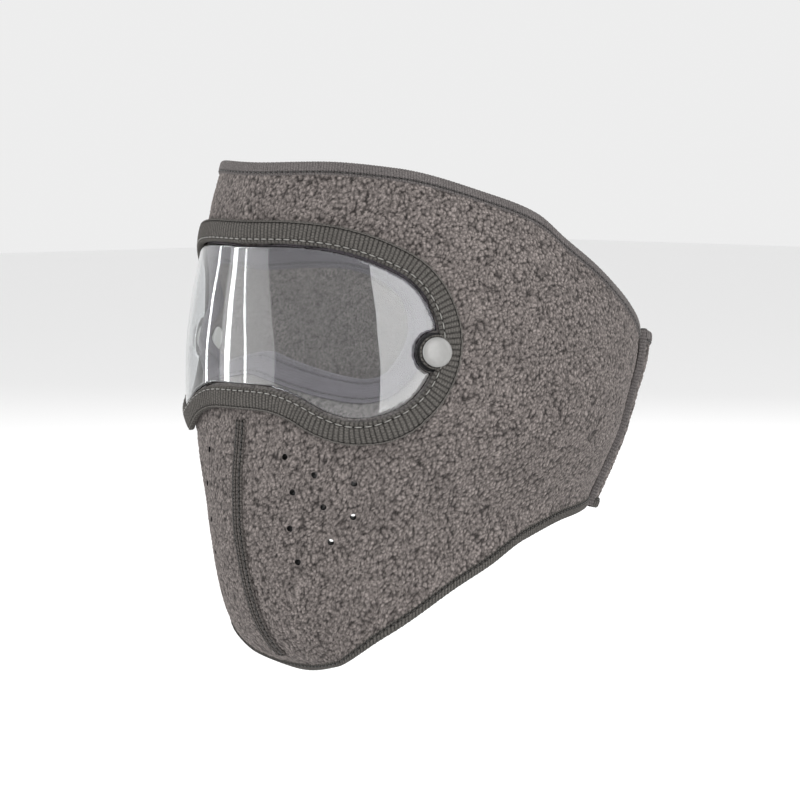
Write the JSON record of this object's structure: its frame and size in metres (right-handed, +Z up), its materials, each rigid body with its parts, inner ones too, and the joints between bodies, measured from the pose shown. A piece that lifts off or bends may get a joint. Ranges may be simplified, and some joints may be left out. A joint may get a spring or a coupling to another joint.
{
  "type": "balaclava",
  "caption": "Fleece ski face mask with a clear goggle lens in a ribbed rim, temple press studs, breathing holes and a hook-and-loop closure at the back.",
  "frame": {"origin": "middle of the head opening, level with the press studs at the temples, on the plane of symmetry, where the head holds the mask", "axes": "+Z up the standing wearer's head, -Y the way the wearer looks, +X the wearer's left"},
  "size_m": [0.1637, 0.2035, 0.2029],
  "materials": {
    "fleece": "pilled polar fleece, warm dark grey",
    "lining_fleece": "smooth side of the fleece, grey",
    "rib_knit": "ribbed knit, olive grey",
    "smooth_knit": "smooth fine knit, grey",
    "seam_thread": "flat seam with overlock thread, dark grey",
    "dark_tape": "woven tape, near black",
    "lens": "clear polished sheet, slight grey tint",
    "snap_cap": "matt pale grey",
    "snap_inner": "matt pale grey",
    "loop_tape": "brushed loop pile, near black",
    "hook_tape": "hook tape, near black"
  },
  "bodies": {
    "root": {"outer_fleece": "fleece", "inner_lining": "lining_fleece", "centre_seam": "seam_thread", "visor_rim": "rib_knit", "eye_binding": "smooth_knit", "stud_tab_left": "dark_tape", "stud_tab_right": "dark_tape", "snap_stud_left": "snap_inner", "snap_stud_right": "snap_inner", "snap_post_left": "snap_inner", "snap_post_right": "snap_inner", "top_binding": "smooth_knit", "bottom_hem": "rib_knit", "left_end_binding": "smooth_knit", "loop_tape": "loop_tape"},
    "visor": {"visor_lens": "lens"},
    "snap_tab_left": {"snap_tongue_left": "rib_knit", "snap_cap_left": "snap_cap", "snap_socket_left": "snap_inner"},
    "snap_tab_right": {"snap_tongue_right": "rib_knit", "snap_cap_right": "snap_cap", "snap_socket_right": "snap_inner"},
    "back_wing": {"wing_fleece": "fleece", "wing_lining": "lining_fleece", "wing_top_binding": "smooth_knit", "wing_bottom_hem": "rib_knit"},
    "flap": {"closure_flap": "fleece", "flap_top_binding": "smooth_knit", "flap_bottom_hem": "rib_knit", "flap_end_binding": "smooth_knit", "hook_tape": "hook_tape"}
  },
  "joints": [
    {"name": "visor_release", "type": "slide", "parent": "root", "child": "visor", "axis": [0, -1, 0], "range_m": [0, 0.08]},
    {"name": "snap_left_open", "type": "hinge", "parent": "root", "child": "snap_tab_left", "pos_m": [0.07576, -0.052, 0.00361], "axis": [-0.0647, 0.0357, 0.9973], "range_deg": [0, 70]},
    {"name": "snap_right_open", "type": "hinge", "parent": "root", "child": "snap_tab_right", "pos_m": [-0.07576, -0.052, 0.00361], "axis": [-0.0647, -0.0357, -0.9973], "range_deg": [0, 70]},
    {"name": "back_wing_open", "type": "hinge", "parent": "root", "child": "back_wing", "pos_m": [-0.07765, 0.02855, -0.0075], "axis": [-0.0705, 0.0306, 0.997], "range_deg": [0, 45]},
    {"name": "closure_flap_open", "type": "hinge", "parent": "back_wing", "child": "flap", "pos_m": [-0.0212, 0.0912, -0.033], "axis": [-0.0766, 0.3481, 0.9343], "range_deg": [0, 110]}
  ]
}
